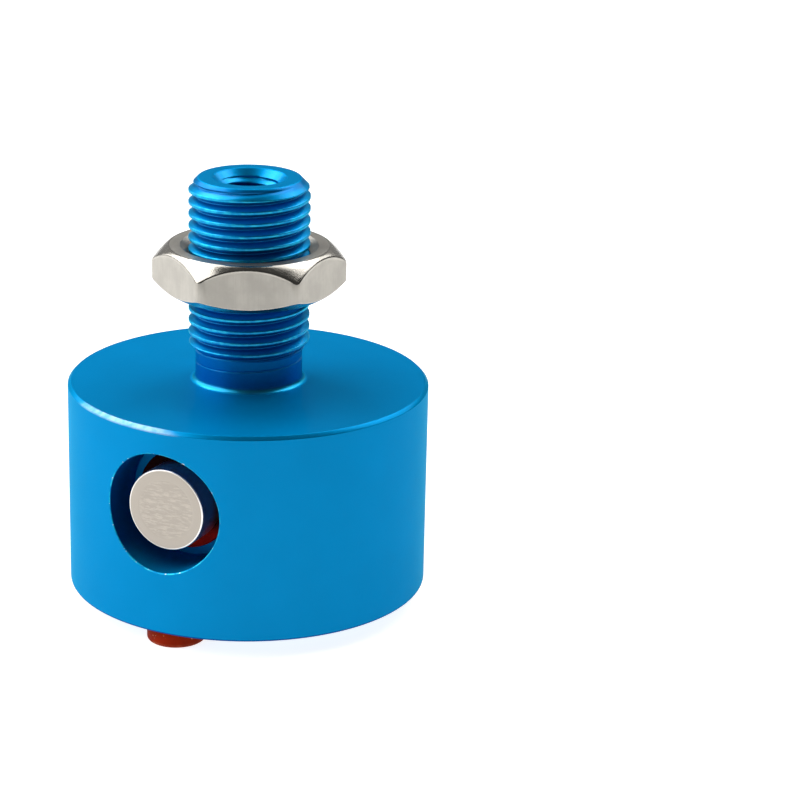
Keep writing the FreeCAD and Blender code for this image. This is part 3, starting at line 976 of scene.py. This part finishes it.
class GRIPPER_OT_plug_seal(Operator):
    """Mould the sealing washer under the plug's head"""
    bl_idname = "gripper.plug_seal"
    bl_label = "Plug washer"

    def execute(self, context):
        size = millimetres(context.scene.gripper_plug)
        pads = millimetres(context.scene.gripper_pads)
        body = millimetres(context.scene.gripper_body)
        mesh = lathe([
            (size.seal_hole, body.recess_floor, size.seal_break, 0),
            (size.seal_radius, body.recess_floor, size.seal_break, 0),
            (size.seal_radius, size.seat, size.seal_break, 0),
            (size.seal_hole, size.seat, size.seal_break, 0),
        ], PORT_COLUMNS)
        face_the_port(mesh, body.side_axis)
        material = red_silicone("red_silicone_washer", size.seal_red, size.seal_red, pads.foot_round,
                                body.side_axis - size.shade_drop)
        finish_piece("seal_washer", mesh, material, "gripper", ["plug_seal"])
        return {"FINISHED"}


class GRIPPER_OT_friction_pads(Operator):
    """Mould the three friction pads of the working face"""
    bl_idname = "gripper.friction_pads"
    bl_label = "Friction pads"

    def execute(self, context):
        size = millimetres(context.scene.gripper_pads)
        material = red_silicone("red_silicone_pad", size.red, size.dust, size.foot_round)
        for number, node in enumerate(PAD_NODES):
            mesh = lathe([
                (0, 0, 0, 0),
                (size.radius, 0, size.foot_round, 0),
                (size.radius, size.rise, SOFT_EDGE, 0),
                (0, size.rise, 0, 0),
            ], PORT_COLUMNS, closed=False)
            turn = FULL_TURN * number / len(PAD_NODES) - math.pi / 2
            place = Vector((math.cos(turn), math.sin(turn), 0)) * size.circle
            bmesh.ops.translate(mesh, vec=place, verts=mesh.verts)
            finish_piece(f"friction_{node}", mesh, material, "gripper", [node])
        return {"FINISHED"}


class GRIPPER_OT_studio(Operator):
    """Lay the pale floor, hang the softboxes and set up the camera"""
    bl_idname = "gripper.studio"
    bl_label = "Studio"

    def execute(self, context):
        settings = context.scene.gripper_studio
        aim = Vector((0, 0, settings.aim))
        self.lay_floor(settings)
        self.light_room(context, settings)
        for name, (swing, rise, distance, spread) in SOFTBOXES.items():
            away = self.direction(settings.azimuth + math.radians(swing), math.radians(rise))
            softbox = self.make_softbox(f"softbox_{name}", spread, getattr(settings, name))
            softbox.matrix_world = self.looking_at(aim, away, distance)
            context.scene.collection.objects.link(softbox)
        self.set_camera(context, settings, aim)
        context.scene.view_settings.view_transform = "Standard"
        return {"FINISHED"}

    @staticmethod
    def lay_floor(settings):
        """A plain sheet under the pads, which isn't part of the object."""
        mesh = bmesh.new()
        bmesh.ops.create_grid(mesh, x_segments=2, y_segments=2, size=FLOOR_REACH)
        floor = to_object("studio_floor", mesh)
        floor.data.materials.append(pale_floor(settings.floor, settings.glow))

    @staticmethod
    def light_room(context, settings):
        """An even white room around everything."""
        room = bpy.data.worlds.new("white_room")
        room.use_nodes = True
        background = room.node_tree.nodes["Background"]
        background.inputs["Color"].default_value = (1.0, 1.0, 1.0, 1.0)
        background.inputs["Strength"].default_value = settings.sky
        context.scene.world = room

    @staticmethod
    def direction(azimuth, elevation):
        """A unit vector. Azimuth starts at the side port and turns towards +X."""
        level = math.cos(elevation)
        return Vector((math.sin(azimuth) * level, -math.cos(azimuth) * level, math.sin(elevation)))

    @staticmethod
    def looking_at(aim, away, distance):
        """The place of a lamp or camera that looks at a point from a distance."""
        turned = away.to_track_quat("Z", "Y").to_matrix().to_4x4()
        return Matrix.Translation(aim + away * distance) @ turned

    @staticmethod
    def make_softbox(name, spread, brightness):
        """A softbox that is equally bright whatever its spread."""
        lamp = bpy.data.lights.new(name, "AREA")
        lamp.shape = "RECTANGLE"
        lamp.size, lamp.size_y = spread
        lamp.energy = brightness * math.pi * spread[0] * spread[1]
        return bpy.data.objects.new(name, lamp)

    def set_camera(self, context, settings, aim):
        """Looks at the body's middle, then turns until that point lies where the picture has it."""
        lens = bpy.data.cameras.new("camera")
        lens.lens = settings.focal
        lens.sensor_width = SENSOR
        lens.sensor_fit = "HORIZONTAL"
        lens.clip_start = 0.01
        pixels = settings.focal / SENSOR * PHOTO_SIDE
        middle = PHOTO_SIDE / 2
        across = (settings.across - middle) / pixels
        up = (middle - settings.down) / pixels
        seen = Vector((across, up, -1)).normalized()
        offset = seen.rotation_difference(Vector((0, 0, -1))).to_matrix().to_4x4()
        away = self.direction(settings.azimuth, settings.elevation)
        tilt = Matrix.Rotation(settings.roll, 4, "Z")
        camera = bpy.data.objects.new("camera", lens)
        camera.matrix_world = self.looking_at(aim, away, settings.distance) @ tilt @ offset
        context.scene.collection.objects.link(camera)
        context.scene.camera = camera


OPERATORS = (
    GRIPPER_OT_turned_body,
    GRIPPER_OT_lock_nut,
    GRIPPER_OT_nozzle,
    GRIPPER_OT_port_plug,
    GRIPPER_OT_plug_seal,
    GRIPPER_OT_friction_pads,
    GRIPPER_OT_studio,
)


class GRIPPER_PT_sidebar(Panel):
    """Sizes, finishes and pieces of the gripper"""
    bl_idname = "GRIPPER_PT_sidebar"
    bl_label = "Bernoulli gripper"
    bl_space_type = "VIEW_3D"
    bl_region_type = "UI"
    bl_category = "Gripper"

    def draw(self, context):
        for operator in OPERATORS:
            self.layout.operator(operator.bl_idname)
        for name in SETTINGS:
            group = getattr(context.scene, name)
            box = self.layout.box()
            box.label(text=group.__doc__)
            for key in group.__annotations__:
                box.prop(group, key)


def register():
    """Registers the settings, the operators and the panel."""
    for group in SETTINGS.values():
        bpy.utils.register_class(group)
    for kind in OPERATORS + (GRIPPER_PT_sidebar,):
        bpy.utils.register_class(kind)
    for name, group in SETTINGS.items():
        setattr(bpy.types.Scene, name, PointerProperty(type=group))


def unregister():
    """Takes back what register did, last first."""
    for name in SETTINGS:
        delattr(bpy.types.Scene, name)
    for kind in (GRIPPER_PT_sidebar,) + OPERATORS[::-1]:
        bpy.utils.unregister_class(kind)
    for group in reversed(SETTINGS.values()):
        bpy.utils.unregister_class(group)


def main():
    register()
    bpy.ops.gripper.turned_body()
    bpy.ops.gripper.lock_nut()
    bpy.ops.gripper.nozzle()
    bpy.ops.gripper.port_plug()
    bpy.ops.gripper.plug_seal()
    bpy.ops.gripper.friction_pads()
    bpy.ops.gripper.studio()


if __name__ == "__main__":
    main()
